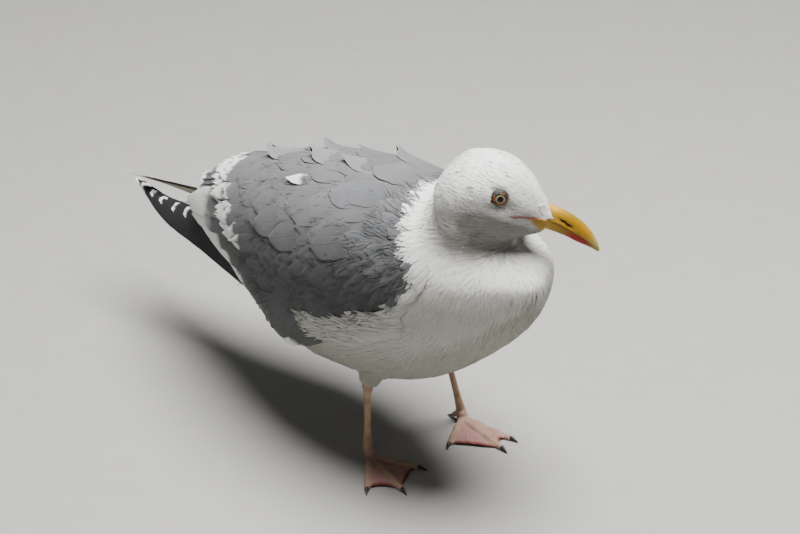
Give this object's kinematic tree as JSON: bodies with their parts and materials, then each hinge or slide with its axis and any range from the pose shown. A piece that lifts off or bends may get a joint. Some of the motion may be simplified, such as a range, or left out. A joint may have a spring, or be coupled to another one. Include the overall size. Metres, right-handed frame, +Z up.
{
  "type": "herring gull",
  "caption": "Standing gull with folded wings and webbed feet, its head turned to its left; a still, life-size display model.",
  "frame": {"origin": "on the floor, under the middle of the bird's bounding box", "axes": "-Y the way the body faces, +X the bird's left, +Z up"},
  "size_m": [0.1453, 0.496, 0.2765],
  "materials": {
    "body_plumage": "soft white feathers over skin and flesh",
    "white_feathers": "loose white feathers",
    "grey_feathers": "matt grey feathers",
    "black_feathers": "black flight feathers with white spots and tips",
    "bill_horn": "satin yellow horn with a red spot",
    "eye": "clear wet cornea over a pale iris",
    "leg_skin": "scaled pink skin",
    "claw_horn": "dark horn"
  },
  "bodies": {
    "root": {"head": "body_plumage", "neck": "body_plumage", "trunk": "body_plumage", "thigh_left": "body_plumage", "thigh_right": "body_plumage", "rump": "white_feathers", "tail": "white_feathers", "wing_left": "grey_feathers", "wing_right": "grey_feathers", "primaries_left": "black_feathers", "primaries_right": "black_feathers", "bill_upper": "bill_horn", "bill_lower": "bill_horn", "eye_left": "eye", "eye_right": "eye", "shank_left": "leg_skin", "shank_right": "leg_skin", "foot_left": "leg_skin", "foot_right": "leg_skin", "claw_inner_left": "claw_horn", "claw_middle_left": "claw_horn", "claw_outer_left": "claw_horn", "claw_hind_left": "claw_horn", "claw_inner_right": "claw_horn", "claw_middle_right": "claw_horn", "claw_outer_right": "claw_horn", "claw_hind_right": "claw_horn"}
  },
  "joints": []
}
